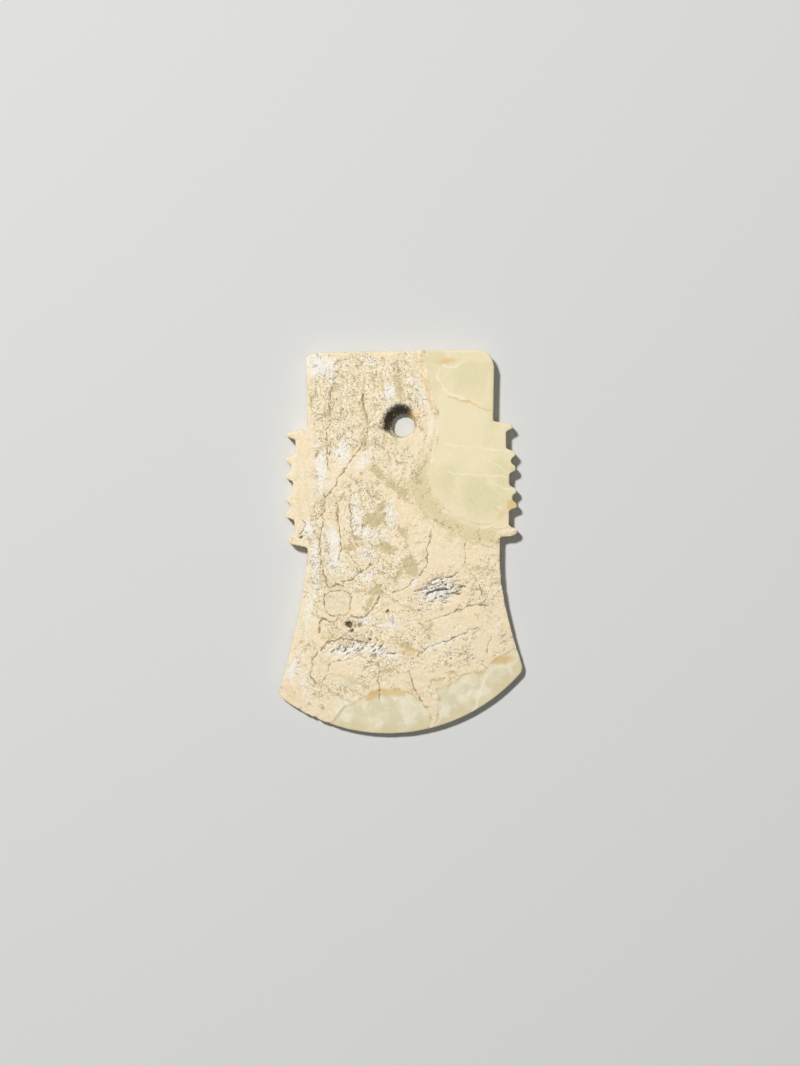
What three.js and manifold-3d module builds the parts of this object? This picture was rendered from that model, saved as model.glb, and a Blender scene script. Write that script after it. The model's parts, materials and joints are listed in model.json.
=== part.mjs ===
// A flat ceremonial axe head of weathered jade, lying on its underside.
// Millimetres, +Z up. +X is to the right and +Y towards the butt, seen from above.
// The origin is the middle of the underside's bounding box.

import * as THREE from "three";
import { mergeVertices } from "three/addons/utils/BufferGeometryUtils.js";
import Module from "manifold-3d";

const wasm = await Module();
wasm.setup();

// ---- Driving dimensions ----

const LENGTH = 130;
const WIDTH = 82.6;
const THICKNESS = 6;
const ARRIS = 0.25; // how far the long edges are softened
const SAWN_SPARE = 0.05; // the sawn slab is this much thicker than the ground axe, above and below

const HALF_WIDTH = WIDTH / 2;
const BUTT_END = LENGTH / 2;

const LEFT_SIDE = [-31.7, 46.0];

// The butt, from its sharp left corner to its worn right one: [x, y, rounding].
const BUTT = [
  [-32.1, 63.5, 0.6],
  [-26.5, 64.2, 2],
  [20, BUTT_END, 4],
  [27.8, 64.9, 0],
];
const WORN_CORNER = [30.6, 64.9];
const RIGHT_SIDE_TOP = [31.7, 59.4];

// Each flange runs from a shoulder down to a foot.
// Its teeth are [height, reach of the tip], and its floors are the reach of the notch after each tooth.
const TOOTH_TIP = 0.75; // half the width of a tooth at its tip
const TOOTH_ROOT = 1.75; // and at its root
const TIP_SLANT = 0.25; // a tip's upper corner stands back by this much
const TOOTH_ROUND = 0.55;
const NOTCH_ROUND = 0.6;
const FOOT_STEP = 1.6; // from the lowest tip back to the underside of its flange

const RIGHT_FLANGE = {
  shoulder: [31.3, 40.9],
  foot: [33.6, 1.5],
  teeth: [
    [39.1, 37.9],
    [29.9, 38.9],
    [24.9, 39.1],
    [17.4, 39.3],
    [12.4, 39.5],
    [3.7, 39.7],
  ],
  floors: [35.7, 37.4, 36.8, 37.8, 36.7],
};
const LEFT_FLANGE = {
  shoulder: [-31.5, 38.4],
  foot: [-31.6, -2.0],
  teeth: [
    [36.3, -38.7],
    [27.9, -38.9],
    [22.2, -39.1],
    [14.6, -39.1],
    [9.1, -39.1],
    [0.7, -38.3],
  ],
  floors: [-35.6, -37.1, -36.5, -37.4, -36.0],
};

// Below the flanges each side flares out to a corner of the blade: [where it leaves straight, bend, corner].
const RIGHT_FLARE = [
  [33.6, -6.8],
  [33.6, -18.9],
  [HALF_WIDTH, -42.2],
];
const LEFT_FLARE = [
  [-31.5, -3.5],
  [-32.6, -21.5],
  [-HALF_WIDTH, -50.6],
];

// The cutting edge is one arc, ground a little off the middle line.
const BLADE_RADIUS = 59.9;
const BLADE_CENTRE = new THREE.Vector2(-4.4, BLADE_RADIUS - LENGTH / 2);
const BLADE_ARCS = 5; // the edge is drawn as this many arcs, end to end
const RIGHT_EDGE_END = [40.9, -44.1];
const LEFT_EDGE_END = [-40.4, -52.8];
const EDGE_CORNER_BEND = 1; // the bend that joins a flare to the edge lies this far below the flare

const EDGE_THICKNESS = 1.3;
const WEDGE_LENGTH = 48; // the faces start to fall to the cutting edge this far from it
const WEDGE_POWER = 3; // how late they fall
const SIDES_FLAT_FROM = 45; // above this height the faces stay flat out to the sides
const THINNEST = 0.2;

// The hole is drilled from both faces; the drill came in from the front at a slant.
const HOLE = new THREE.Vector2(0.9, 39.5); // where the two drillings meet
const HOLE_RADIUS = 3.7;
const HOLE_FRONT_RADIUS = 5.2;
const HOLE_BACK_RADIUS = 4.6;
const HOLE_WAIST = 0.4 * THICKNESS; // how high the two drillings meet
const HOLE_LEAN = new THREE.Vector2(-0.33, 0.24); // sideways drift of the front drilling for each mm up
const HOLE_SIDES = 40;
const DRILL_SPARE = 1; // how far the drill shows above and below the axe

// Small chips along the worn left part of the cutting edge: [degrees round the blade arc, size].
const CHIPS = [
  [-35.6, 0.7],
  [-30.0, 0.9],
  [-26.4, 0.9],
  [-24.2, 1.4],
  [-19.5, 1.1],
  [-17.6, 0.7],
];
const CHIP_BITE = 0.4; // share of a chip's size that bites into the edge

// ---- Helpers ----

// A closed geometry as a solid for joining and cutting.
function solid(geometry) {
  const bare = geometry.index ? geometry.toNonIndexed() : geometry.clone();
  bare.deleteAttribute("normal");
  bare.deleteAttribute("uv");
  const merged = mergeVertices(bare, 1e-4);
  return new wasm.Manifold(
    new wasm.Mesh({
      numProp: 3,
      vertProperties: merged.attributes.position.array,
      triVerts: new Uint32Array(merged.index.array),
    }),
  );
}

// A solid as a geometry again, with flat facets.
function geometryOf(manifold) {
  const { vertProperties, triVerts } = manifold.getMesh();
  const geometry = new THREE.BufferGeometry();
  geometry.setAttribute("position", new THREE.BufferAttribute(new Float32Array(vertProperties), 3));
  geometry.setIndex(new THREE.BufferAttribute(new Uint32Array(triVerts), 1));
  const faceted = geometry.toNonIndexed();
  faceted.computeVertexNormals();
  return faceted;
}

// Draws straight runs through corners [x, y, rounding], rounding each corner with a short curve.
function traceCorners(shape, corners) {
  let before = [shape.currentPoint.x, shape.currentPoint.y];
  corners.forEach(([x, y, rounding], i) => {
    const after = corners[i + 1];
    if (!after || !rounding) {
      shape.lineTo(x, y);
    } else {
      const corner = new THREE.Vector2(x, y);
      const towards = ([otherX, otherY]) => {
        const way = new THREE.Vector2(otherX, otherY).sub(corner);
        const along = Math.min(rounding, way.length() / 2);
        return corner.clone().addScaledVector(way.normalize(), along);
      };
      const start = towards(before);
      const end = towards(after);
      shape.lineTo(start.x, start.y);
      shape.quadraticCurveTo(x, y, end.x, end.y);
    }
    before = [x, y];
  });
}

// ---- The outline ----

// A flange's corners from its shoulder down to its foot.
function flangeCorners({ shoulder, foot, teeth, floors }) {
  const out = Math.sign(shoulder[0]);
  const corners = [[...shoulder, NOTCH_ROUND]];
  teeth.forEach(([height, reach], i) => {
    const above = floors[i - 1];
    const below = floors[i];
    if (above !== undefined) corners.push([above, height + TOOTH_ROOT, NOTCH_ROUND]);
    corners.push([reach - out * TIP_SLANT, height + TOOTH_TIP, TOOTH_ROUND]);
    corners.push([reach, height - TOOTH_TIP, TOOTH_ROUND]);
    if (below !== undefined) corners.push([below, height - TOOTH_ROOT, NOTCH_ROUND]);
  });
  const [lowest, reach] = teeth[teeth.length - 1];
  corners.push([reach - out * FOOT_STEP, lowest - TOOTH_ROOT, NOTCH_ROUND]);
  corners.push([...foot, NOTCH_ROUND]);
  return corners;
}

// The cutting edge, from its right end to its left one.
function traceBlade(shape) {
  const { x, y } = BLADE_CENTRE;
  const angleOf = ([endX, endY]) => Math.atan2(endY - y, endX - x);
  const from = angleOf(RIGHT_EDGE_END);
  const step = (angleOf(LEFT_EDGE_END) - from) / BLADE_ARCS;
  for (let i = 0; i < BLADE_ARCS; i++) {
    shape.absarc(x, y, BLADE_RADIUS, from + i * step, from + (i + 1) * step, true);
  }
}

// The outline runs clockwise as seen from above: left side, butt, right side, blade and left side again.
function outline() {
  const shape = new THREE.Shape();
  shape.moveTo(...LEFT_SIDE);
  traceCorners(shape, BUTT);
  shape.quadraticCurveTo(...WORN_CORNER, ...RIGHT_SIDE_TOP);

  const [rightStart, rightBend, rightCorner] = RIGHT_FLARE;
  traceCorners(shape, [...flangeCorners(RIGHT_FLANGE), rightStart]);
  shape.quadraticCurveTo(...rightBend, ...rightCorner);
  shape.quadraticCurveTo(rightCorner[0], rightCorner[1] - EDGE_CORNER_BEND, ...RIGHT_EDGE_END);

  traceBlade(shape);

  const [leftStart, leftBend, leftCorner] = LEFT_FLARE;
  shape.quadraticCurveTo(leftCorner[0], leftCorner[1] - EDGE_CORNER_BEND, ...leftCorner);
  shape.quadraticCurveTo(...leftBend, ...leftStart);
  traceCorners(shape, flangeCorners(LEFT_FLANGE).reverse());
  shape.closePath();
  return shape;
}

// ---- The slab and its faces ----

// The outline sawn out of a flat slab, with softened long edges.
function slab() {
  const bevel = ARRIS + SAWN_SPARE;
  const geometry = new THREE.ExtrudeGeometry(outline(), {
    depth: THICKNESS - 2 * ARRIS,
    bevelThickness: bevel,
    bevelSize: bevel,
    bevelOffset: -bevel,
    bevelSegments: 2,
    curveSegments: 4,
  });
  return geometry.translate(0, 0, ARRIS);
}

// Half the axe's thickness over a point of its plan.
// It falls away from the blade's centre, and less and less so towards the butt.
function halfThickness(x, y) {
  const outwards = Math.hypot(x - BLADE_CENTRE.x, Math.min(0, y - BLADE_CENTRE.y));
  const nearEdge = Math.max(0, 1 - (BLADE_RADIUS - outwards) / WEDGE_LENGTH);
  const grinding = 1 - THREE.MathUtils.smoothstep(y, BLADE_CENTRE.y, SIDES_FLAT_FROM);
  const lost = (THICKNESS - EDGE_THICKNESS) * nearEdge ** WEDGE_POWER * grinding;
  return Math.max(THINNEST, THICKNESS - lost) / 2;
}

// A block wider than the axe whose two faces follow its thickness.
function groundBlock() {
  const spare = 6;
  const block = new THREE.BoxGeometry(WIDTH + spare, LENGTH + spare, 2, 22, 34, 1);
  const at = block.attributes.position;
  for (let i = 0; i < at.count; i++) {
    const side = Math.sign(at.getZ(i));
    at.setZ(i, THICKNESS / 2 + side * halfThickness(at.getX(i), at.getY(i)));
  }
  return block;
}

// ---- What is cut away ----

// The two tapered drillings, the front one leaning.
function drill() {
  const backTaper = (HOLE_BACK_RADIUS - HOLE_RADIUS) / HOLE_WAIST;
  const frontTaper = (HOLE_FRONT_RADIUS - HOLE_RADIUS) / (THICKNESS - HOLE_WAIST);
  const profile = [
    new THREE.Vector2(0, -DRILL_SPARE),
    new THREE.Vector2(HOLE_BACK_RADIUS + DRILL_SPARE * backTaper, -DRILL_SPARE),
    new THREE.Vector2(HOLE_RADIUS, HOLE_WAIST),
    new THREE.Vector2(HOLE_FRONT_RADIUS + DRILL_SPARE * frontTaper, THICKNESS + DRILL_SPARE),
    new THREE.Vector2(0, THICKNESS + DRILL_SPARE),
  ];
  const geometry = new THREE.LatheGeometry(profile, HOLE_SIDES).rotateX(Math.PI / 2);
  const at = geometry.attributes.position;
  for (let i = 0; i < at.count; i++) {
    const above = Math.max(0, at.getZ(i) - HOLE_WAIST);
    at.setX(i, at.getX(i) + HOLE.x + HOLE_LEAN.x * above);
    at.setY(i, at.getY(i) + HOLE.y + HOLE_LEAN.y * above);
  }
  return geometry;
}

function chip([degrees, size]) {
  const angle = THREE.MathUtils.degToRad(degrees - 90);
  const reach = BLADE_RADIUS + size * (1 - CHIP_BITE);
  const x = BLADE_CENTRE.x + reach * Math.cos(angle);
  const y = BLADE_CENTRE.y + reach * Math.sin(angle);
  return new THREE.IcosahedronGeometry(size, 1).rotateZ(angle).translate(x, y, THICKNESS / 2);
}

// ---- The axe head ----

function axeHead() {
  let body = solid(slab()).intersect(solid(groundBlock())).subtract(solid(drill()));
  for (const place of CHIPS) {
    body = body.subtract(solid(chip(place)));
  }
  const jade = new THREE.MeshStandardMaterial({ color: 0xe6d7b4, roughness: 0.5, metalness: 0 });
  const mesh = new THREE.Mesh(geometryOf(body), jade);
  mesh.name = "axe_head";
  return mesh;
}

const axe = new THREE.Group();
axe.add(axeHead());

export default axe;
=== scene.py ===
"""A flat ceremonial axe head of weathered jade, lying on a pale floor."""
import json
import math

import bpy
import numpy as np
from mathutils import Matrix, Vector, noise

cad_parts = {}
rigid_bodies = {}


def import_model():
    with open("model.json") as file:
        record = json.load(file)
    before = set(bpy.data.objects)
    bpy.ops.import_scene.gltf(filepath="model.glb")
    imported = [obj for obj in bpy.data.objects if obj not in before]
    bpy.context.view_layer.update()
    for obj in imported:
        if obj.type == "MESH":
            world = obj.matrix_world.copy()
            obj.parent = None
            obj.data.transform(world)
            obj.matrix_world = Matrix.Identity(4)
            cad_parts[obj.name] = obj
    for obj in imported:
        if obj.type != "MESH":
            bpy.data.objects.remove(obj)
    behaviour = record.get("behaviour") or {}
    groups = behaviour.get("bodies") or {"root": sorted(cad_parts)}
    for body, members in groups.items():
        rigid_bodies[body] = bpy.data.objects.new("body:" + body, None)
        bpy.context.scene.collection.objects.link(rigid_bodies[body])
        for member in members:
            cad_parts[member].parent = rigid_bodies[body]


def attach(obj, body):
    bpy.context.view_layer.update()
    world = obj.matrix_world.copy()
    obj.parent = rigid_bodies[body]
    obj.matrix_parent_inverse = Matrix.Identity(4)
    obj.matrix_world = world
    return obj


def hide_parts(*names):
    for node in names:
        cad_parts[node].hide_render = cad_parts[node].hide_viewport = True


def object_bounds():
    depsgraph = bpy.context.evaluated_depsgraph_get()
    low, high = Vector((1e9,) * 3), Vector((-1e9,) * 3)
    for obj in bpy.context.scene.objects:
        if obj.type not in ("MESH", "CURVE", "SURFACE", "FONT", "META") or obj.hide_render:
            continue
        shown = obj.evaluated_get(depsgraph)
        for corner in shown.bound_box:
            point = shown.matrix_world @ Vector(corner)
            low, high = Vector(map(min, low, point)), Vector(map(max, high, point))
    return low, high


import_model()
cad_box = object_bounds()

MM = 0.001

# Where things lie on the stone is given in millimetres from the middle of the axe, +X to the right and
# +Y towards the butt, as the solid has it.
THICKNESS = cad_box[1][2] / MM
GRAIN = 0.32  # the stone's surface is resolved this finely
STONE_FACES = 190_000  # how many triangles are kept


# ---- Zones of the stone ----

# The green, polished jade that weathering has not reached.
GREEN_CORNER = [
    (6.9, 70), (8.6, 59), (10.9, 50.7), (12.6, 43.9), (11.2, 34.5), (9.6, 25), (9.9, 18.3), (12.6, 12.8),
    (16.7, 8.5), (23.8, 5.6), (33.6, 4.6), (45, 5.1), (45, 70),
]
GREEN_POOL = [
    (-22, -62), (-18.6, -57), (-14.5, -54.4), (-11.1, -52.3), (-7.7, -51), (-0.6, -50.4), (4.8, -52.1),
    (8.4, -54.8), (10.2, -58.1), (11.2, -62.5), (10, -68), (-10, -70), (-22, -65),
]
GREEN_SHORE = [
    (12.2, -66), (13.9, -57.5), (14.2, -53.4), (12.9, -50), (17.7, -48.3), (20.5, -45.7), (23.9, -44.9),
    (29.2, -44.6), (30.3, -42.9), (32.8, -40.7), (38.6, -37.5), (46, -36), (46, -60), (30, -66),
]
# The fibrous khaki seam that runs along the foot of the green corner.
KHAKI_SEAM = [
    (7.6, 30), (4.8, 25), (1.2, 19.5), (3.4, 14.2), (7.5, 9.8), (10.4, 6.1), (16.7, 1.9), (26.1, -0.8),
    (33.2, -1.0), (33.2, 4), (22, 5.6), (15, 10), (11, 16), (9.4, 22), (9.8, 30),
]

# Smooth khaki patches where the chalky crust is gone: (x, y, half length, half width, turned degrees).
KHAKI_PATCHES = [
    (-22.2, 52.1, 1.6, 1.0, 90), (-24.6, 43.3, 1.7, 1.1, 80), (-12.1, 53.4, 2.6, 0.5, 80),
    (-12.7, 46.6, 3.3, 0.6, 88), (-13.4, 39.5, 1.0, 0.6, 90), (-12.4, 33.8, 2.2, 1.0, 85),
    (-16.1, 43.9, 0.8, 0.7, 0), (-30.3, 47.7, 2.2, 0.5, 95), (-0.6, 52.7, 4.6, 1.2, 105),
    (-17.3, 18.6, 0.9, 0.6, 20), (-19.8, 15.0, 1.6, 0.8, 60), (-21.3, 9.6, 2.4, 0.5, 85),
    (-25.9, 12.8, 3.0, 0.4, 92), (-10.5, 16.6, 1.6, 0.7, 100), (-9.0, 7.6, 4.2, 2.3, 12),
    (-6.6, 11.6, 2.6, 1.3, 60), (-7.6, 23.5, 3.4, 1.5, -42), (-2.4, 19.0, 3.4, 1.4, -38),
    (1.0, 16.2, 2.2, 1.5, -40), (-17.0, -1.9, 2.8, 1.1, 5), (-4.8, -2.1, 3.4, 1.7, -20),
    (0.8, 3.2, 2.4, 1.2, -60), (3.4, -8.4, 3.6, 2.5, -65), (-0.8, -11.5, 3.0, 1.0, 70),
    (-8.3, -16.6, 2.7, 1.5, 38), (-10.3, -20.4, 1.9, 1.1, 70), (-11.9, -22.8, 1.0, 0.7, 0),
    (26.5, -9.1, 3.6, 0.6, 2), (9.6, -29.2, 2.2, 0.8, 50), (-4.5, -43.5, 2.6, 0.7, 20),
    (17.5, -44.6, 2.2, 0.5, -4), (12.4, -46.9, 1.8, 0.6, 0), (2.5, -35.8, 4.6, 0.9, -28),
]
# Smooth islands that stay grey-green.
GREEN_PATCHES = [(-21.2, -20.6, 4.3, 3.6, 10), (30.5, -22.6, 2.2, 1.6, 0), (-18.0, -47.6, 4.4, 1.7, 8)]

# White chalk: (x, y, half length, half width, turned degrees).
CHALK_PATCHES = [
    (-27.3, 59.5, 5.5, 3.6, 0), (-22.5, 56.5, 3.2, 1.2, 65), (-10.5, 60.5, 1.8, 1.2, 0),
    (-3.4, 51.0, 3.2, 2.2, 75), (-1.4, 45.6, 2.0, 1.2, 0), (6.9, 49.6, 5.0, 1.1, 115),
    (-27.1, 24.3, 7.6, 1.7, 91), (-31.0, 4.7, 2.8, 2.0, 60), (-29.4, -3.0, 5.0, 1.2, 86),
    (-28.6, -10.0, 4.6, 1.2, 84), (-14.9, 9.0, 4.0, 1.4, 92), (-13.2, 3.6, 2.8, 1.6, -30),
    (-9.0, 2.6, 3.6, 1.0, 0), (-3.4, 9.0, 3.6, 1.6, 95), (-23.4, 1.0, 2.2, 3.6, 0),
    (-22.0, -7.0, 2.4, 3.6, 0), (-11.4, -4.4, 2.6, 2.0, 0), (-10.8, -11.0, 3.4, 1.4, 30),
    (12.6, -17.0, 6.6, 3.6, 22), (-8.0, -37.0, 4.6, 1.9, -6), (-17.0, -36.6, 7.4, 2.4, 6),
    (-35.4, -43.3, 4.6, 1.5, 70), (-32.3, -48.7, 3.0, 0.9, 100), (-2.6, -38.0, 3.0, 1.6, -10),
    (4.6, -10.4, 1.4, 3.0, 0), (-20.0, 30.5, 2.4, 4.0, 0), (-13.0, 27.0, 3.0, 1.8, 40),
    (-3.0, -27.5, 3.4, 1.6, 10), (14.0, -35.0, 5.0, 1.0, 20), (-18.6, -56.2, 2.6, 0.8, 55),
    (-12.0, -27.0, 3.0, 1.6, 30), (-30.5, -22.0, 6.0, 1.0, 84),
]

# Hairline cracks: (half width, [points]).
CRACKS = [
    (0.20, [(-12.9, 33.6), (-14.1, 31.1), (-16.5, 28.2), (-18.7, 24.7), (-21.2, 21), (-23.9, 16.1),
            (-25.4, 15)]),
    (0.18, [(-21.6, 56), (-23.9, 51), (-24.2, 45.3), (-23.6, 41.6), (-25.1, 37.2), (-25.1, 33),
            (-24.6, 26)]),
    (0.18, [(-25.9, 15.9), (-25.8, 9.8), (-26.7, 8.8), (-25.9, 7.1), (-26.7, 3.2), (-27.5, 0.7),
            (-27.3, -4.4), (-26.3, -10), (-25.1, -13.4), (-24.0, -15.9)]),
    (0.22, [(-24.0, -15.9), (-22.3, -13.7), (-19.5, -15.3)]),
    (0.18, [(-21.2, 11.8), (-21.2, 7.4), (-20.5, 3.4), (-20, -0.7), (-21.0, -6.0)]),
    (0.15, [(-17.1, 16), (-17.1, 13), (-16.9, 5.5), (-15.8, 2.1), (-14.4, 0.2)]),
    (0.18, [(-13.0, 50), (-12.4, 45.4), (-11.2, 41.4), (-11.1, 35.8), (-12.0, 31)]),
    (0.17, [(-25.8, -17.6), (-22.2, -16.2), (-17.1, -17.2), (-16.8, -21.6), (-18.5, -24.6), (-23.6, -25),
            (-25.9, -22), (-25.8, -17.6)]),
    (0.16, [(-9.2, -7.2), (-13.4, -10), (-16.1, -12.8), (-20, -13.4)]),
    (0.17, [(-7.0, -17.6), (-8.0, -20.6), (-11.9, -25.4), (-14.8, -25.4), (-17, -24.6)]),
    (0.24, [(-27.3, -31), (-27.3, -27.4), (-25.9, -26.3), (-24, -27)]),
    (0.26, [(-27.1, -36.8), (-24.6, -33.8), (-20.3, -32.7), (-16.1, -32.7), (-11.1, -34.9)]),
    (0.20, [(-29.9, -40.6), (-29.6, -39.4), (-28.2, -37.5)]),
    (0.17, [(9.9, -26.4), (12.6, -26), (15.1, -24.7), (18.9, -23.2), (21.4, -22.5), (23.9, -21.4),
            (29.5, -21.3)]),
    (0.15, [(25.4, -12), (27.0, -15.3), (27.6, -16.9), (27, -18.8), (27, -20)]),
    (0.16, [(5.8, -38.8), (8.9, -36), (15.1, -33.5), (21.0, -31.0), (27.4, -28.4)]),
    (0.17, [(10.4, 4.1), (9.2, -2), (8.6, -8.5), (5.4, -12.0), (2.1, -15.5), (-2.6, -17.4)]),
    (0.13, [(21.9, 0.4), (21.9, -1), (21.7, -7.4)]),
    (0.13, [(-29.7, -40.1), (-30.8, -44.2), (-30.6, -45.3), (-28, -48.3), (-26.6, -49.4)]),
    (0.13, [(-16.6, -39.2), (-19.8, -40.1), (-23.3, -41), (-24.4, -43), (-25, -45.3), (-26.2, -47.1)]),
    (0.13, [(-7.6, -40.5), (-7.5, -47.1), (-7.1, -51.7), (-7, -53.5)]),
    (0.16, [(2.8, -43.8), (4, -47.7), (5.4, -51), (7.1, -53.9)]),
    (0.13, [(31.0, -32.0), (29.4, -34.4), (29.0, -37.8)]),
    (0.15, [(-33.6, 7.4), (-32.0, 6.2), (-33.0, 4.0), (-34.4, 2.6)]),
    (0.16, [(-28.6, 31.0), (-27.9, 30.8), (-28.1, 29.4), (-28.7, 28.2)]),
    (0.16, [(-23.9, 30.2), (-24.1, 29.2)]), (0.16, [(-22.3, 29.9), (-22.2, 28.9)]),
    (0.16, [(-20.8, 29.6), (-20.8, 28.4)]), (0.13, [(32.1, -14.1), (34.2, -14.0)]),
]
# Dark rifts of the eroded hollow, rising to the right; their darkness is dirt together with painted shade.
RIFTS = [
    (0.16, [(4.5, -16.9), (6.4, -16.4), (8.6, -15.3), (11.0, -13.2), (13.3, -11.9)]),
    (0.34, [(8.9, -17.8), (10.6, -16.9), (12, -16.6), (14.8, -16), (16.2, -15.7), (17.7, -15)]),
    (0.14, [(15.1, -12.2), (17.0, -11.6), (19.5, -10.3)]),
    (0.14, [(17.0, -14.2), (18.8, -13.4), (20.4, -13.2)]),
    (0.26, [(15.1, -18.2), (17.0, -17.4), (19.8, -17.2)]),
    (0.18, [(13.9, -20.6), (15.8, -20.3)]),
    (0.30, [(20.4, -15), (21.7, -15.3)]),
    (0.16, [(9.6, -20.4), (12.0, -19.8)]),
    (0.14, [(12.6, -13.8), (14.4, -12.4), (16.2, -12.0)]),
    (0.20, [(10.0, -16.0), (13.0, -14.6), (15.6, -14.2)]),
    (0.18, [(11.4, -18.8), (14.0, -17.9)]),
    (0.16, [(-25.6, -35.8), (-23.8, -34.4)]), (0.18, [(-21.6, -36.6), (-20.4, -34.8)]),
    (0.18, [(-19.4, -37.6), (-18.0, -35.2)]), (0.16, [(-16.8, -36.0), (-15.6, -34.4)]),
    (0.18, [(-14.4, -37.2), (-12.8, -35.4)]), (0.14, [(-23.4, -38.0), (-22.2, -36.6)]),
    (0.20, [(-4.8, -38.4), (-3.4, -37.8), (-1.6, -37.6)]), (0.14, [(-9.8, -38.6), (-7.6, -38.0)]),
]
HOLLOW = (13.0, -16.4, 8.4, 4.6, 22)
CREST = (-14.6, -36.6, 12.0, 2.9, 4)

# Deep pits: (x, y, radius, depth).
PITS = [
    (-4.6, -23.5, 0.9, 0.7), (-17.4, -27.6, 1.4, 0.8), (-15.4, -28.4, 1.6, 0.3), (-16.6, -30.0, 0.9, 0.7),
    (-13.6, -28.2, 1.3, 0.35), (-33.8, -34.1, 0.6, 0.35), (-10.5, -32.7, 0.9, 0.6), (-7.5, -33, 0.7, 0.45),
    (17.3, -39.4, 0.7, 0.45), (15.8, -38.0, 0.5, 0.35), (13.4, -40.6, 0.5, 0.3), (22.4, -39, 0.6, 0.3),
    (14.9, -46.6, 0.45, 0.25), (18.6, -28.9, 0.5, 0.3), (19.7, -28.5, 0.45, 0.3), (28.7, -30.4, 0.5, 0.25),
    (16.6, 30, 0.4, 0.35), (15.6, 28.6, 0.3, 0.2), (-33.7, 1.6, 0.8, 0.5), (-32.0, 2.9, 0.6, 0.4),
    (-13.0, -51.6, 0.6, 0.3), (-16.0, -52.2, 0.5, 0.3), (-9.6, 27.8, 0.5, 0.3), (-11.4, 25.0, 0.4, 0.25),
    (8.6, -42.4, 0.5, 0.25),
]

# Where the crust is broken into crumbs with pinholes: (x, y, half length, half width, turned, amount).
PEPPERED = [
    (-13, 47, 19, 17, 0, 1.0), (-27, 40, 6, 14, 0, 0.8), (-14, 8, 12, 13, 0, 1.0),
    (-9, -10, 15, 10, 10, 0.85), (1, -23, 12, 5, 5, 0.9), (-15, -31, 12, 7, 0, 1.0), (-2, 26, 9, 9, 0, 0.6),
    (3, 50, 6, 14, 15, 0.9), (-27, 0, 5, 26, 0, 0.75), (13, -16, 10, 5, 22, 0.8),
    (-15, -49, 9, 3.2, 32, 0.95), (-3, -41, 12, 5, 0, 0.85), (20, -39, 11, 3.5, 18, 0.9),
    (28, -15, 7, 9, 0, 0.6), (5, -32, 9, 4, 0, 0.8), (-33, 4, 4, 3, 0, 0.9), (-27, -50, 7, 5, -30, 0.7),
    (16, 2, 6, 2, 0, 0.3),
]
# Smooth, waxy places in the crust.
WAXY = [
    (-19.5, 24.5, 7.5, 3.4, 52), (-33.8, 26, 4.6, 23, 0), (16, -3.8, 9, 4.6, 0), (19, -28.5, 7.5, 4.6, 12),
    (-22, 4, 2.4, 6, 0), (2.4, -15, 4.6, 2.6, 15), (-23.5, -41, 5.5, 5, 0), (-35, -52, 5, 5, 0),
    (5, -47, 8, 2.6, 0), (29, -35, 5, 4, 0), (-1.6, -21.6, 3.0, 1.0, 0),
]

# Rust and ochre stains, and one strip of painted edge light: (x, y, half length, half width, turned
# degrees, strength).
OCHRE_STAINS_AND_EDGE_LIGHT = [
    (15.6, 61.3, 3.0, 1.2, 5, 0.75), (38.0, 12.2, 1.8, 2.2, 0, 0.85), (35.0, 9.2, 2.6, 1.2, 40, 0.5),
    (38.6, 24.2, 1.2, 1.0, 0, 0.6), (35.6, -41.2, 3.6, 1.3, 4, 1.0), (-9.0, -52.6, 2.8, 1.4, 30, 1.1),
    (-2.4, -51.9, 6.0, 1.3, 2, 0.75), (2.1, -37.6, 2.0, 1.2, -15, 0.6), (-2.3, -45.3, 1.8, 0.9, 0, 0.45),
    (-39.9, -50.9, 1.0, 1.0, 0, 0.8), (-24.6, -31.8, 2.8, 0.9, -15, 0.5), (18.4, -41.6, 5.0, 0.9, 15, 0.4),
    (-0.4, -37.2, 3.4, 0.7, -30, 0.4), (11.4, 44.8, 1.0, 4.6, 12, 0.3), (28.0, -45.6, 5.0, 0.8, 5, 0.45),
    (20.0, -46.9, 5.0, 0.8, 20, 0.35), (36.6, 37.4, 2.0, 1.0, 0, 0.2), (-33.0, 4.4, 1.8, 0.8, 50, 0.35),
    # The last entry is no stain: a strip of painted light along the rounded right edge.
    (-36.0, -52.8, 6.0, 1.6, -40, 0.35), (-13.6, -28.4, 1.7, 1.2, 0, 0.6), (31.0, 51.0, 0.9, 9.0, 0, 0.22),
]

# Deeper green in the green corner.
DEEP_PATCHES = [
    (31.6, 47, 9, 1.8, 92), (27.5, 14.5, 10, 6.5, -18), (22, 57, 10, 6.5, 0), (15, 20, 5, 3, 60),
    (12, 62, 4, 4, 0), (35, 22, 4, 8, 0),
]

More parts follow.
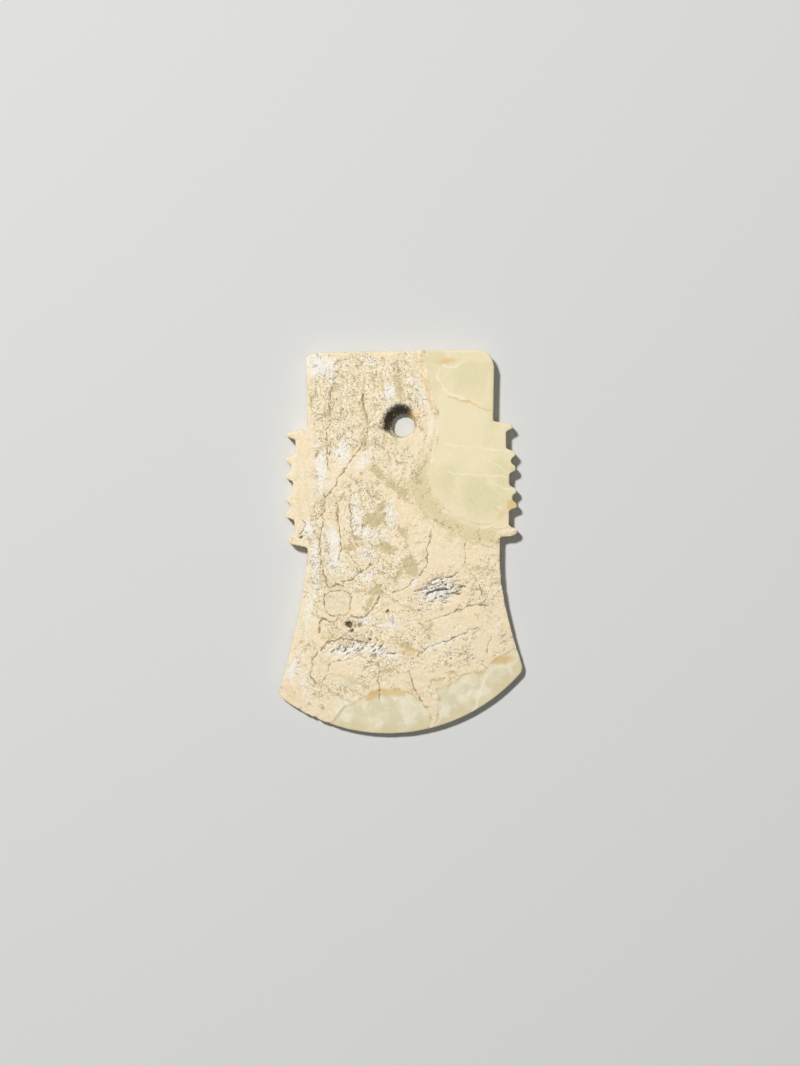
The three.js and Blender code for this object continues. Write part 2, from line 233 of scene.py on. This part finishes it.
# Thin lines in the green corner: rusty ones and pale ones.
RUSTY_VEINS = [
    (0.16, [(16.3, 49.3), (18.6, 48.6), (21.1, 47.8), (23.1, 47.5), (26.8, 45.3), (30.9, 44.6)]),
    (0.22, [(21.1, 47.8), (23.1, 47.5)]),
    (0.16, [(8.2, 55.4), (9.6, 51), (10.4, 47), (10.9, 45)]), (0.14, [(6.6, 57.5), (8.4, 52.6), (9.4, 48)]),
    (0.10, [(18.2, 13.4), (20.0, 13.0)]), (0.12, [(23.0, 14.4), (24.2, 13.0)]),
    (0.12, [(32, 11.2), (34.4, 9.0)]),
]
PALE_VEINS = [
    (0.35, [(12.6, 55.6), (14.4, 52.2), (16.6, 49.9), (21.5, 48.6)]), (0.25, [(13.4, 58.4), (12.2, 55.6)]),
    (0.22, [(16.2, 23.6), (20.4, 22.9), (25.1, 22.5), (30, 22.9), (35.5, 21.7)]),
    (0.20, [(28.6, 19.8), (33, 18.9), (37.6, 17.7)]), (0.18, [(27, 29.5), (31.4, 27.0), (35.2, 24.0)]),
    (0.20, [(14.0, 33.5), (20.5, 32.0), (28.5, 31.6), (36, 30.6)]), (0.16, [(24.5, 10.2), (24.2, 8.0)]),
    (0.45, [(30, -44.3), (27.8, -47.7), (26.7, -51.6), (25.6, -55.5), (24.4, -58)]),
    (0.30, [(1.8, -51.6), (4.4, -55.4)]),
    (0.30, [(10.4, -49.6), (13.2, -55.0), (13.6, -59.5), (11.4, -62.5)]),
    (0.25, [(14.4, 60.2), (15.9, 58.9), (18.8, 59.6), (20.6, 60.8)]),
]

HOLE = (0.9, 39.6)
BLADE_CENTRE = (-4.4, -5.1)
BLADE_RADIUS = 59.9

SLANT = (3.5, -4.0)  # how far the zones run sideways from the upper face to the underside
# Dirt round the hole, with painted shade on its upper-left side and bore wall, and an amber stain: which
# way each lies from the middle, and how far out it starts to fade and is gone.
SOOT_AND_SHADE_SIDE = (-0.68, 0.73)
SOOT_AND_SHADE_REACH = (5.0, 9.4)
AMBER_SIDE = (0.5, 0.87)
AMBER_REACH = (4.8, 7.2)

# How deep the wear goes.
SKIN_DEPTH = 0.03
SKIN_WAVES = 0.05
CRUMB_DEPTH = 0.20
DENT_DEPTH = 0.10
HOLLOW_DEPTH = 0.1
HOLLOW_STREAKS = 0.3
CREST_STREAKS = 0.26
# Zones that are sunk as a whole: (zone, depth, distance into it where this starts, and where it is full).
SUNKEN = [
    ("khaki", 0.12, -0.25, 0.3), ("grey", 0.06, -0.25, 0.3), ("crack", 0.10, -0.3, 0.1),
    ("rift", 0.34, -0.4, 0.2),
]
# Which way the streaks run, in degrees.
HOLLOW_LIE = 22
CREST_LIE = 35
FACING_UP = 0.3  # where a normal points up by more than this, no triangles are thinned away


# ---- Distances, in millimetres ----

def to_segment(points, start, end):
    """Each point's distance to one straight stretch."""
    start, end = np.array(start, float), np.array(end, float)
    along = end - start
    t = np.clip((points - start) @ along / (along @ along), 0, 1)
    return np.linalg.norm(points - start - t[:, None] * along, axis=1)


def inside_outline(points, outline):
    """Distance to a closed outline, positive inside it."""
    x, y = points.T
    nearest = np.full(len(points), np.inf)
    inside = np.zeros(len(points), bool)
    for (ax, ay), (bx, by) in zip(outline, outline[1:] + outline[:1]):
        nearest = np.minimum(nearest, to_segment(points, (ax, ay), (bx, by)))
        if ay != by:
            inside ^= ((ay > y) != (by > y)) & (x < (bx - ax) * (y - ay) / (by - ay) + ax)
    return np.where(inside, nearest, -nearest)


def inside_patch(points, patch):
    """Rough distance to a turned ellipse, positive inside it."""
    x, y, length, width, degrees = patch[:5]
    turn = math.radians(degrees)
    dx, dy = points[:, 0] - x, points[:, 1] - y
    along = (dx * math.cos(turn) + dy * math.sin(turn)) / length
    across = (dy * math.cos(turn) - dx * math.sin(turn)) / width
    return (1 - np.hypot(along, across)) * min(length, width)


def inside_any(points, patches):
    """Rough distance into the nearest of several patches, positive inside it."""
    return np.max([inside_patch(points, patch) for patch in patches], axis=0)


def inside_lines(points, lines):
    """How far inside the nearest crack each point lies; negative beside it."""
    nearest = np.full(len(points), -4.0)
    for half_width, corners in lines:
        for start, end in zip(corners, corners[1:]):
            nearest = np.maximum(nearest, half_width - to_segment(points, start, end))
    return nearest


def along_outline(points, outline):
    """How far round an outline the nearest place to each point is."""
    nearest = np.full(len(points), np.inf)
    along = np.zeros(len(points))
    done = 0
    for start, end in zip(outline, outline[1:]):
        away = to_segment(points, start, end)
        stretch = np.array(end, float) - start
        length = np.linalg.norm(stretch)
        part = np.clip((points - start) @ stretch / length, 0, length)
        along = np.where(away < nearest, done + part, along)
        nearest = np.minimum(nearest, away)
        done += length
    return along


def smooth(values, low, high):
    """From 0 at low to 1 at high, with soft ends."""
    t = np.clip((values - low) / (high - low), 0, 1)
    return t * t * (3 - 2 * t)


def grain(points, size, seed, octaves=3):
    """Smooth noise about zero, with features of the given size."""
    offset = Vector((seed * 17.3, seed * 7.1, seed * 3.7))
    return np.array([noise.fractal(Vector(p) / size + offset, 1.0, 2.0, octaves) for p in points])


# ---- What the stone is like at each point ----

def zones(points, normals):
    """Named measures of the stone at points in mm: distances into each zone, and amounts from 0 to 1."""
    below = np.clip(1 - points[:, 2] / THICKNESS, 0, 1)
    upper = smooth(points[:, 2], THICKNESS * 0.35, THICKNESS * 0.6)
    plan = points[:, :2]
    # The zones run through the stone at a slant, and their edges wander.
    wander = np.stack([grain(points, 9, 1), grain(points, 9, 2)], axis=1) * 0.8
    wander += np.stack([grain(points, 2.2, 3), grain(points, 2.2, 4)], axis=1) * 0.5
    deep = plan + wander + below[:, None] * SLANT
    fine = plan + np.stack([grain(points, 2.4, 5), grain(points, 2.4, 6)], axis=1) * 0.7
    fine += np.stack([grain(points, 0.8, 7), grain(points, 0.8, 8)], axis=1) * 0.22
    on_face = -3 * (1 - upper)  # what only the upper face has is pushed out of reach elsewhere

    pits = np.zeros(len(points))
    for x, y, radius, depth in PITS:
        away = np.hypot(fine[:, 0] - x, fine[:, 1] - y) / radius
        pits = np.maximum(pits, depth * (1 - smooth(away, 0.2, 1.15)))
    ochre_and_edge_light = np.zeros(len(points))
    # Stains, with one strip of painted light along the rounded right edge.
    for stain in OCHRE_STAINS_AND_EDGE_LIGHT:
        ochre_and_edge_light = np.maximum(ochre_and_edge_light, stain[5] * smooth(inside_patch(deep, stain), -1.4, 1.0))
    pepper = np.zeros(len(points))
    for patch in PEPPERED:
        pepper = np.maximum(pepper, patch[5] * smooth(inside_patch(deep, patch), -2.0, 2.5))
    waxy = smooth(inside_any(deep, WAXY), -1.2, 0.8) * (1 - below)

    from_hole = fine - HOLE
    away = np.linalg.norm(from_hole, axis=1)
    facing = from_hole / away[:, None]
    # The hole's upper-left side and bore wall face away from the key: dark dirt there is deepened with
    # painted shade.
    soot_and_shade = smooth(facing @ SOOT_AND_SHADE_SIDE, -0.1, 0.8) * (1 - smooth(away, *SOOT_AND_SHADE_REACH))
    amber = smooth(facing @ AMBER_SIDE, 0.3, 0.95) * (1 - smooth(away, *AMBER_REACH))
    tilted = 1 - np.abs(normals[:, 2])
    return {
        "green": inside_outline(deep, GREEN_CORNER),
        "along": along_outline(plan, GREEN_CORNER[:-2]),
        "deep": inside_any(deep, DEEP_PATCHES),
        "pool": np.maximum(inside_outline(deep, GREEN_POOL), inside_outline(deep, GREEN_SHORE)),
        "seam": inside_outline(deep, KHAKI_SEAM),
        "khaki": inside_any(fine, KHAKI_PATCHES) + on_face,
        "grey": inside_any(fine, GREEN_PATCHES) + on_face,
        "chalk": inside_any(deep, CHALK_PATCHES) + 0.5 * on_face,
        "crack": inside_lines(fine, CRACKS) + on_face,
        "rift": inside_lines(fine, RIFTS) + on_face,
        "rusty": inside_lines(fine, RUSTY_VEINS) + on_face,
        "pale": inside_lines(fine, PALE_VEINS) + on_face,
        "hollow": smooth(inside_patch(fine, HOLLOW), -1.5, 1.6) * upper,
        "crest": smooth(inside_patch(fine, CREST), -0.8, 1.2) * upper,
        "pit": pits * upper,
        "ochre_and_edge_light": np.maximum(ochre_and_edge_light, amber * 0.7) * upper,
        "pepper": np.maximum(pepper * (1 - 0.7 * waxy), 0.3),
        "waxy": waxy,
        "soot_and_shade": soot_and_shade * (1 - 0.6 * below),
        "edge": BLADE_RADIUS - np.linalg.norm(deep - BLADE_CENTRE, axis=1),
        "arris": smooth(tilted, 0.06, 0.4) * (1 - smooth(tilted, 0.75, 0.95)),
    }


# ---- The stone's shape ----

def apply_modifier(stone, kind, **settings):
    """Adds a modifier and applies it at once."""
    modifier = stone.modifiers.new(kind.lower(), kind)
    for name, value in settings.items():
        setattr(modifier, name, value)
    bpy.context.view_layer.objects.active = stone
    bpy.ops.object.modifier_apply(modifier=modifier.name)


def copy_of_node(node, name):
    """A copy of a node's mesh as a new object, with its loose triangles joined up."""
    source = next(o for o in bpy.data.objects if o.name == node)
    stone = bpy.data.objects.new(name, source.data.copy())
    bpy.context.scene.collection.objects.link(stone)
    bpy.ops.object.select_all(action="DESELECT")
    stone.select_set(True)
    bpy.context.view_layer.objects.active = stone
    bpy.ops.object.mode_set(mode="EDIT")
    bpy.ops.mesh.select_all(action="SELECT")
    bpy.ops.mesh.remove_doubles(threshold=1e-6)
    bpy.ops.object.mode_set(mode="OBJECT")
    return stone


def points_and_normals(mesh):
    """The mesh's points in mm, and the way that the surface faces at each."""
    points, normals = np.empty((2, len(mesh.vertices) * 3))
    mesh.vertices.foreach_get("co", points)
    mesh.vertex_normals.foreach_get("vector", normals)
    return points.reshape(-1, 3) / MM, normals.reshape(-1, 3)


def streaks(points, degrees, size, seed):
    """Noise drawn out along one direction."""
    turn = math.radians(degrees)
    along = points @ (math.cos(turn), math.sin(turn), 0)
    across = points @ (-math.sin(turn), math.cos(turn), 0)
    return grain(np.stack([along * 0.3, across, points[:, 2]], axis=1), size, seed)


def wear(stone):
    """Sinks the pits, cracks and eroded places into the surface."""
    points, normals = points_and_normals(stone.data)
    zone = zones(points, normals)
    solid = smooth(np.max([zone["green"], zone["pool"], zone["grey"] * 2], axis=0), -0.6, 1.0)
    rough = (1 - solid) * (0.25 + 0.75 * zone["pepper"]) * (1 - 0.6 * zone["waxy"])
    crumbs = grain(points, 0.9, 11, 4)
    depth = SKIN_DEPTH + SKIN_WAVES * smooth(grain(points, 6, 12), -0.6, 0.6)
    depth += rough * CRUMB_DEPTH * smooth(crumbs, 0.0, 0.6)
    depth += rough * DENT_DEPTH * smooth(grain(points, 2.6, 13), 0, 0.8)
    for name, deepest, low, high in SUNKEN:
        depth += deepest * smooth(zone[name], low, high)
    furrows = smooth(streaks(points, HOLLOW_LIE, 0.9, 14), -0.2, 0.7)
    depth += zone["hollow"] * (HOLLOW_DEPTH + HOLLOW_STREAKS * furrows)
    depth += zone["crest"] * CREST_STREAKS * smooth(streaks(points, CREST_LIE, 1.1, 15), -0.2, 0.6)
    depth += zone["pit"]
    stone.data.vertices.foreach_set("co", ((points - normals * depth[:, None]) * MM).ravel())
    stone.data.update()


def keep_inside(stone):
    """Moves back any point that has come to lie outside the solid's box."""
    points, _ = points_and_normals(stone.data)
    inside = np.clip(points * MM, cad_box[0], cad_box[1])
    stone.data.vertices.foreach_set("co", inside.ravel())
    stone.data.update()


def record_zones(stone):
    """Keeps each zone on the mesh, so that the finish follows the same places as the shape."""
    for name, values in zones(*points_and_normals(stone.data)).items():
        attribute = stone.data.attributes.new(name, "FLOAT", "POINT")
        attribute.data.foreach_set("value", values.astype(np.float32))


def weathered_axe():
    """The axe's surface: the solid's own mesh, made fine, worn and marked."""
    stone = copy_of_node("axe_head", "weathered_axe")
    apply_modifier(stone, "REMESH", mode="VOXEL", voxel_size=GRAIN * MM, adaptivity=0)
    apply_modifier(stone, "SMOOTH", factor=0.5, iterations=2)
    wear(stone)
    # Triangles are saved where the surface is plain: the underside and the sides.
    facing_up = points_and_normals(stone.data)[1][:, 2] > FACING_UP
    plain = stone.vertex_groups.new(name="plain")
    plain.add(np.flatnonzero(~facing_up).tolist(), 1.0, "REPLACE")
    faces = sum(len(p.vertices) - 2 for p in stone.data.polygons)
    ratio = min(1, STONE_FACES / faces)
    apply_modifier(stone, "DECIMATE", ratio=ratio, use_collapse_triangulate=True, vertex_group="plain")
    keep_inside(stone)
    record_zones(stone)
    stone.data.shade_smooth()
    return stone


# ---- The finish ----

class Value:
    """One number or colour in a material; arithmetic on it adds the Math nodes."""

    def __init__(self, paint, socket):
        self.paint = paint
        self.socket = socket

    def _math(self, operation, first, second):
        node = self.paint.node("ShaderNodeMath", {"operation": operation}, {0: first, 1: second})
        return Value(self.paint, node.outputs[0])

    def __add__(self, other):
        return self._math("ADD", self, other)

    def __radd__(self, other):
        return self._math("ADD", other, self)

    def __sub__(self, other):
        return self._math("SUBTRACT", self, other)

    def __rsub__(self, other):
        return self._math("SUBTRACT", other, self)

    def __mul__(self, other):
        return self._math("MULTIPLY", self, other)

    def __rmul__(self, other):
        return self._math("MULTIPLY", other, self)

    def __or__(self, other):
        return self._math("MAXIMUM", self, other)


class Paint:
    """A material's nodes, added one at a time."""

    def __init__(self, name):
        self.material = bpy.data.materials.new(name)
        self.material.use_nodes = True
        self.tree = self.material.node_tree
        self.tree.nodes.clear()

    def node(self, kind, settings=None, sockets=None):
        """Adds a node: its settings first, then the values or links of its sockets."""
        made = self.tree.nodes.new(kind)
        for name, value in (settings or {}).items():
            setattr(made, name, value)
        for name, value in (sockets or {}).items():
            socket = made.inputs[name]
            if isinstance(value, Value):
                self.tree.links.new(value.socket, socket)
            else:
                socket.default_value = value
        return made

    def output(self, made, name=0):
        """One of a node's outputs, by name or number."""
        return Value(self, made.outputs[name])

    def zone(self, name):
        """A measure that is kept on the stone's mesh."""
        return self.output(self.node("ShaderNodeAttribute", {"attribute_name": name}), "Fac")

    def place(self, scale=(1, 1, 1), degrees=0):
        """The stone's own coordinates in millimetres, turned and stretched."""
        where = self.output(self.node("ShaderNodeTexCoord"), "Object")
        stretch = tuple(value / MM for value in scale)
        turn = self.node("ShaderNodeMapping", {}, {0: where, "Rotation": (0, 0, math.radians(degrees))})
        mapped = self.node("ShaderNodeMapping", {}, {0: self.output(turn), "Scale": stretch})
        return self.output(mapped)

    def noise(self, where, size, detail=3, roughness=0.55, distortion=0.0):
        """Noise from 0 to 1 with features of the given size in millimetres."""
        sockets = {
            "Vector": where, "Scale": 1 / size, "Detail": detail, "Roughness": roughness,
            "Distortion": distortion,
        }
        return self.output(self.node("ShaderNodeTexNoise", {}, sockets), "Fac")

    def cells(self, where, size):
        """Distance to scattered points that lie about the given size apart, as a share of it."""
        made = self.node("ShaderNodeTexVoronoi", {}, {"Vector": where, "Scale": 1 / size})
        return self.output(made, "Distance")

    def rise(self, value, low, high):
        """From 0 at low to 1 at high, smoothly."""
        settings = {"interpolation_type": "SMOOTHSTEP"}
        return self.output(self.node("ShaderNodeMapRange", settings, {0: value, 1: low, 2: high}))

    def blend(self, under, over, amount):
        """One colour laid over another."""
        made = self.node("ShaderNodeMix", {"data_type": "RGBA"}, {0: amount, 6: under, 7: over})
        return self.output(made, 2)

    def finish(self, shader):
        """Joins the shader to the material's output."""
        self.node("ShaderNodeOutputMaterial", {}, {"Surface": shader})
        return self.material


def colour(red, green, blue):
    """A colour given from 0 to 255, as the linear one that nodes want."""
    def linear(channel):
        share = channel / 255
        return share / 12.92 if share <= 0.04045 else ((share + 0.055) / 1.055) ** 2.4
    return (linear(red), linear(green), linear(blue), 1)


CREAM = colour(242, 224, 188)
PEACH = colour(243, 221, 183)
IVORY = colour(249, 239, 215)
CHALK_WHITE = colour(244, 240, 230)
KHAKI = colour(202, 185, 138)
OLIVE = colour(207, 193, 148)
SEAM_OLIVE = colour(221, 206, 160)
JADE_GREEN = colour(227, 216, 173)
JADE_PALE = colour(238, 225, 187)
JADE_GREY = colour(225, 215, 181)
JADE_MILK = colour(244, 236, 211)
OCHRE = colour(222, 184, 112)
CRACK_BROWN = colour(146, 121, 80)
# Dark brown for dirt and painted shade in pinholes, rifts and pits.
DIRT_AND_SHADE_BROWN = colour(76, 56, 32)
# Near-black, for dirt and painted shade on the hole's upper-left side and bore wall.
SOOT_AND_SHADE = colour(30, 19, 8)


def crust_colour(paint, where, flow, crumbs, fine):
    """The chalky crust: cream, in warmer and paler patches, broken into crumbs over a khaki ground."""
    pepper = paint.zone("pepper")
    warm = paint.rise(paint.noise(where, 8, 3, 0.5), 0.42, 0.6)
    crust = paint.blend(CREAM, PEACH, warm)
    # The pale crumbs are partly the crust's own colour and partly painted highlight on the grains.
    crust = paint.blend(crust, IVORY, paint.rise(crumbs, 0.48, 0.58) * (0.35 + pepper * 0.65))
    blotches = paint.noise(flow, 1.5, 5, 0.75, 0.4)
    gaps = paint.rise(blotches + (fine - 0.5) * 0.25, 0.53, 0.59)
    crust = paint.blend(crust, OLIVE, gaps * paint.rise(pepper, 0.05, 0.8) * 0.8)
    faint = paint.rise(paint.noise(where, 0.7, 4, 0.75), 0.56, 0.7)
    crust = paint.blend(crust, OLIVE, faint * (0.45 + pepper * 0.3))
    white = paint.zone("chalk") + (crumbs - 0.5) * 12 + (fine - 0.5) * 4
    return paint.blend(crust, CHALK_WHITE, paint.rise(white, -0.6, 0.9) * 0.9)


def jade_colour(paint, where, fibres, mottle):
    """Solid jade in the green corner: soft clouds, faint fibres and a web of paler veins."""
    cloud = paint.noise(where, 7, 3, 0.5)
    deep = paint.zone("deep") * 0.12 + (cloud - 0.5) * 1.6 + (fibres - 0.5) * 0.7 + (mottle - 0.5) * 0.7
    jade = paint.blend(JADE_PALE, JADE_GREEN, paint.rise(deep, -0.35, 0.35))
    veins = paint.noise(where, 5, 4, 0.6, 1.2) - 0.5
    return paint.blend(jade, JADE_PALE, paint.rise(0.02 - (veins | (0 - veins)), -0.01, 0.02) * 0.5)


def pool_colour(paint, where, mottle):
    """Solid jade near the cutting edge: greyer and milkier, yellowed at the edge itself."""
    cloud = paint.noise(where, 5, 4, 0.55, 0.5)
    pool = paint.blend(JADE_GREY, JADE_MILK, paint.rise(cloud + (mottle - 0.5) * 0.35, 0.40, 0.62) * 0.85)
    pool = paint.blend(pool, JADE_PALE, paint.rise(paint.noise(where, 3.1, 4, 0.6), 0.5, 0.62) * 0.5)
    yellowed = 1 - paint.rise(paint.zone("edge") + (mottle - 0.5) * 6, 0.2, 2.6)
    return paint.blend(pool, SEAM_OLIVE, yellowed * 0.55)


def weathered_jade():
    paint = Paint("weathered_jade")
    where = paint.place()
    height_up = paint.output(paint.node("ShaderNodeSeparateXYZ", {}, {0: where}), "Z")
    green_edge = paint.zone("green")
    along = paint.zone("along")
    flow = paint.node("ShaderNodeCombineXYZ", {}, {0: green_edge, 1: along * 0.4, 2: height_up})
    strands = paint.node("ShaderNodeCombineXYZ", {}, {0: green_edge, 1: along * 0.13, 2: height_up})
    fibres = paint.noise(paint.output(strands), 0.8, 4, 0.65, 0.3)
    fine = paint.noise(where, 0.5, 3, 0.7)
    crumbs = paint.noise(where, 0.95, 4, 0.7)
    mottle = paint.noise(where, 2.4, 4, 0.6)
    ragged = (fine - 0.5) * 1.6 + (crumbs - 0.5) * 2.4
    pepper = paint.zone("pepper")

    skin = crust_colour(paint, where, paint.output(flow), crumbs, fine)

    # The fibrous seam round the green corner.
    band = paint.rise(green_edge + (fibres - 0.5) * 3, -5.5, -1.0)
    streaked = paint.blend(PEACH, IVORY, paint.rise(fibres, 0.44, 0.6))
    skin = paint.blend(skin, paint.blend(streaked, SEAM_OLIVE, paint.rise(fibres, 0.48, 0.38)), band * 0.85)
    seam = paint.rise(paint.zone("seam") + (fibres - 0.5) * 18 + ragged * 0.6, -0.6, 1.2)
    skin = paint.blend(skin, SEAM_OLIVE, seam * 0.9)

    green = paint.rise(green_edge + (fibres - 0.5) * 7 + ragged * 0.2, -0.9, 1.4)
    skin = paint.blend(skin, jade_colour(paint, where, fibres, mottle), green)
    pool_edge = paint.zone("pool") + ragged * 0.5
    pool = paint.rise(pool_edge, -0.2, 0.5)
    skin = paint.blend(skin, pool_colour(paint, where, mottle), pool)
    shore = paint.rise(pool_edge, -0.5, 0.1) * (1 - paint.rise(pool_edge, 0.2, 1.2))
    skin = paint.blend(skin, OLIVE, shore * paint.rise(mottle, 0.4, 0.6) * 0.8)
    solid = green | pool

    khaki = paint.rise(paint.zone("khaki") + ragged * 1.5, -0.05, 0.12) * (1 - green)
    skin = paint.blend(skin, KHAKI, khaki * 0.85)
    grey = paint.rise(paint.zone("grey") + ragged * 0.8, -0.1, 0.4)
    skin = paint.blend(skin, JADE_GREY, grey * paint.rise(crumbs, 0.62, 0.46) * 0.8)
    # Ochre stains and amber by the hole, with one strip of painted light along the rounded right edge.
    skin = paint.blend(skin, OCHRE, paint.rise(paint.zone("ochre_and_edge_light") + ragged * 0.12, 0.05, 1.0) * 0.75)
    skin = paint.blend(skin, IVORY, paint.rise(paint.zone("pale") + ragged * 0.2, -0.35, 0.3) * 0.7)
    rusty = paint.rise(paint.zone("rusty") + ragged * 0.1, -0.3, 0.15)
    skin = paint.blend(skin, OCHRE, rusty * 0.7)
    skin = paint.blend(skin, KHAKI, paint.zone("arris") * (1 - solid) * 0.4)

    # Pinholes, rifts and pits hold dark dirt, painted darker with the shade that falls in them; cracks hold
    # dark dirt.
    open_crust = (1 - solid) * (1 - khaki * 0.6) * (1 - grey * 0.6)
    dots = paint.rise(paint.cells(where, 0.95), 0.27, 0.14) * paint.rise(crumbs, 0.42, 0.52)
    specks = paint.rise(paint.noise(where, 0.45, 2, 0.6), 0.60, 0.71) * paint.rise(mottle, 0.38, 0.55)
    pinholes = (dots | specks) * open_crust * paint.rise(pepper, 0.12, 0.9)
    # Dirt and painted shade in the pinholes.
    skin = paint.blend(skin, DIRT_AND_SHADE_BROWN, pinholes * 0.85)
    worn = 0.45 + 0.55 * paint.rise(mottle, 0.38, 0.52)
    crack = paint.rise(paint.zone("crack") + ragged * 0.12, -0.15, 0.08) * worn
    web = paint.noise(where, 7, 5, 0.62, 0.6) - 0.5
    web = paint.rise((web | (0 - web)) + (crumbs - 0.5) * 0.03, 0.014, 0.004)
    web = web * paint.rise(mottle, 0.46, 0.56) * (1 - paint.zone("waxy") * 0.7)
    crack = crack | web * open_crust * 0.65
    skin = paint.blend(skin, CRACK_BROWN, crack * 0.85)
    rift = paint.rise(paint.zone("rift") + ragged * 0.35, -0.16, 0.16)
    slant = paint.noise(paint.place((0.3, 1.1, 1), -22), 0.9, 3, 0.65)
    strokes = paint.noise(paint.place((0.4, 1.2, 1), -42), 0.9, 3, 0.65)
    rift = rift | paint.rise(slant, 0.56, 0.66) * paint.zone("hollow")
    rift = rift | paint.rise(strokes, 0.58, 0.68) * paint.zone("crest")
    # Dirt and painted shade in the rifts and in the streaks of the hollow and crest.
    skin = paint.blend(skin, DIRT_AND_SHADE_BROWN, rift * 0.9)
    pit = paint.rise(paint.zone("pit") + ragged * 0.06, 0.1, 0.5)
    # Dirt and painted shade in the pits.
    skin = paint.blend(skin, DIRT_AND_SHADE_BROWN, pit * 0.9)
    # Dark dirt and painted shade on the hole's upper-left side and bore wall.
    soot_and_shade = paint.rise(paint.zone("soot_and_shade") + ragged * 0.5, 0.15, 0.75)
    skin = paint.blend(skin, SOOT_AND_SHADE, soot_and_shade * 0.95)

    height = (crumbs * (0.4 + pepper) + fine * 0.5) * (1 - solid) - (pinholes + crack + rift) * 0.8
    bump = paint.node("ShaderNodeBump", {}, {"Strength": 0.85, "Distance": 0.15 * MM, "Height": height})
    rough = 0.64 - solid * 0.28 - khaki * 0.12 - paint.zone("waxy") * 0.08
    sockets = {
        "Base Color": skin, "Roughness": rough, "Normal": paint.output(bump), "Subsurface Weight": 0.1,
        "Subsurface Radius": (1.0, 0.8, 0.5), "Subsurface Scale": 1.2 * MM,
    }
    return paint.finish(paint.output(paint.node("ShaderNodeBsdfPrincipled", {}, sockets)))


def studio_floor():
    paint = Paint("studio_floor")
    sockets = {"Base Color": colour(214, 214, 212), "Roughness": 0.9}
    return paint.finish(paint.output(paint.node("ShaderNodeBsdfPrincipled", {}, sockets)))


# ---- The studio ----

CAMERA_LENS = 85
CAMERA_HEIGHT = 0.8567
CAMERA_OVER = (-0.00024, 0.00304)
FLOOR_SIZE = 6
WORLD_LIGHT = 0.12

# The key comes from the upper left, high and fairly small; a broad fill lifts the shadows.
# Each lamp: (name, direction towards it, distance, size, watts).
LAMPS = [
    ("key", (-0.335, 0.39, 0.857), 2.4, 0.25, 54),
    ("fill", (0.4, -0.5, 1.4), 2.6, 2.0, 6),
]


def set_camera():
    data = bpy.data.cameras.new("camera")
    data.lens = CAMERA_LENS
    camera = bpy.data.objects.new("camera", data)
    camera.location = (*CAMERA_OVER, CAMERA_HEIGHT)
    bpy.context.scene.collection.objects.link(camera)
    bpy.context.scene.camera = camera


def lay_floor():
    bpy.ops.mesh.primitive_plane_add(size=FLOOR_SIZE, location=(0, 0, 0))
    floor = bpy.context.object
    floor.name = "floor"
    floor.data.materials.append(studio_floor())


def add_lamp(name, towards, distance, size, power):
    """A square lamp that shines at the middle of the axe."""
    data = bpy.data.lights.new(name, "AREA")
    data.size = size
    data.energy = power
    lamp = bpy.data.objects.new(name, data)
    direction = Vector(towards).normalized()
    lamp.location = direction * distance
    lamp.rotation_euler = direction.to_track_quat("Z", "Y").to_euler()
    bpy.context.scene.collection.objects.link(lamp)


def light_studio():
    for lamp in LAMPS:
        add_lamp(*lamp)
    world = bpy.data.worlds.new("studio")
    world.use_nodes = True
    background = world.node_tree.nodes["Background"]
    background.inputs["Color"].default_value = (1, 1, 1, 1)
    background.inputs["Strength"].default_value = WORLD_LIGHT
    bpy.context.scene.world = world
    bpy.context.scene.view_settings.view_transform = "Standard"


set_camera()
stone = weathered_axe()
stone.data.materials.clear()
stone.data.materials.append(weathered_jade())
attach(stone, "root")
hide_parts("axe_head")
lay_floor()
light_studio()
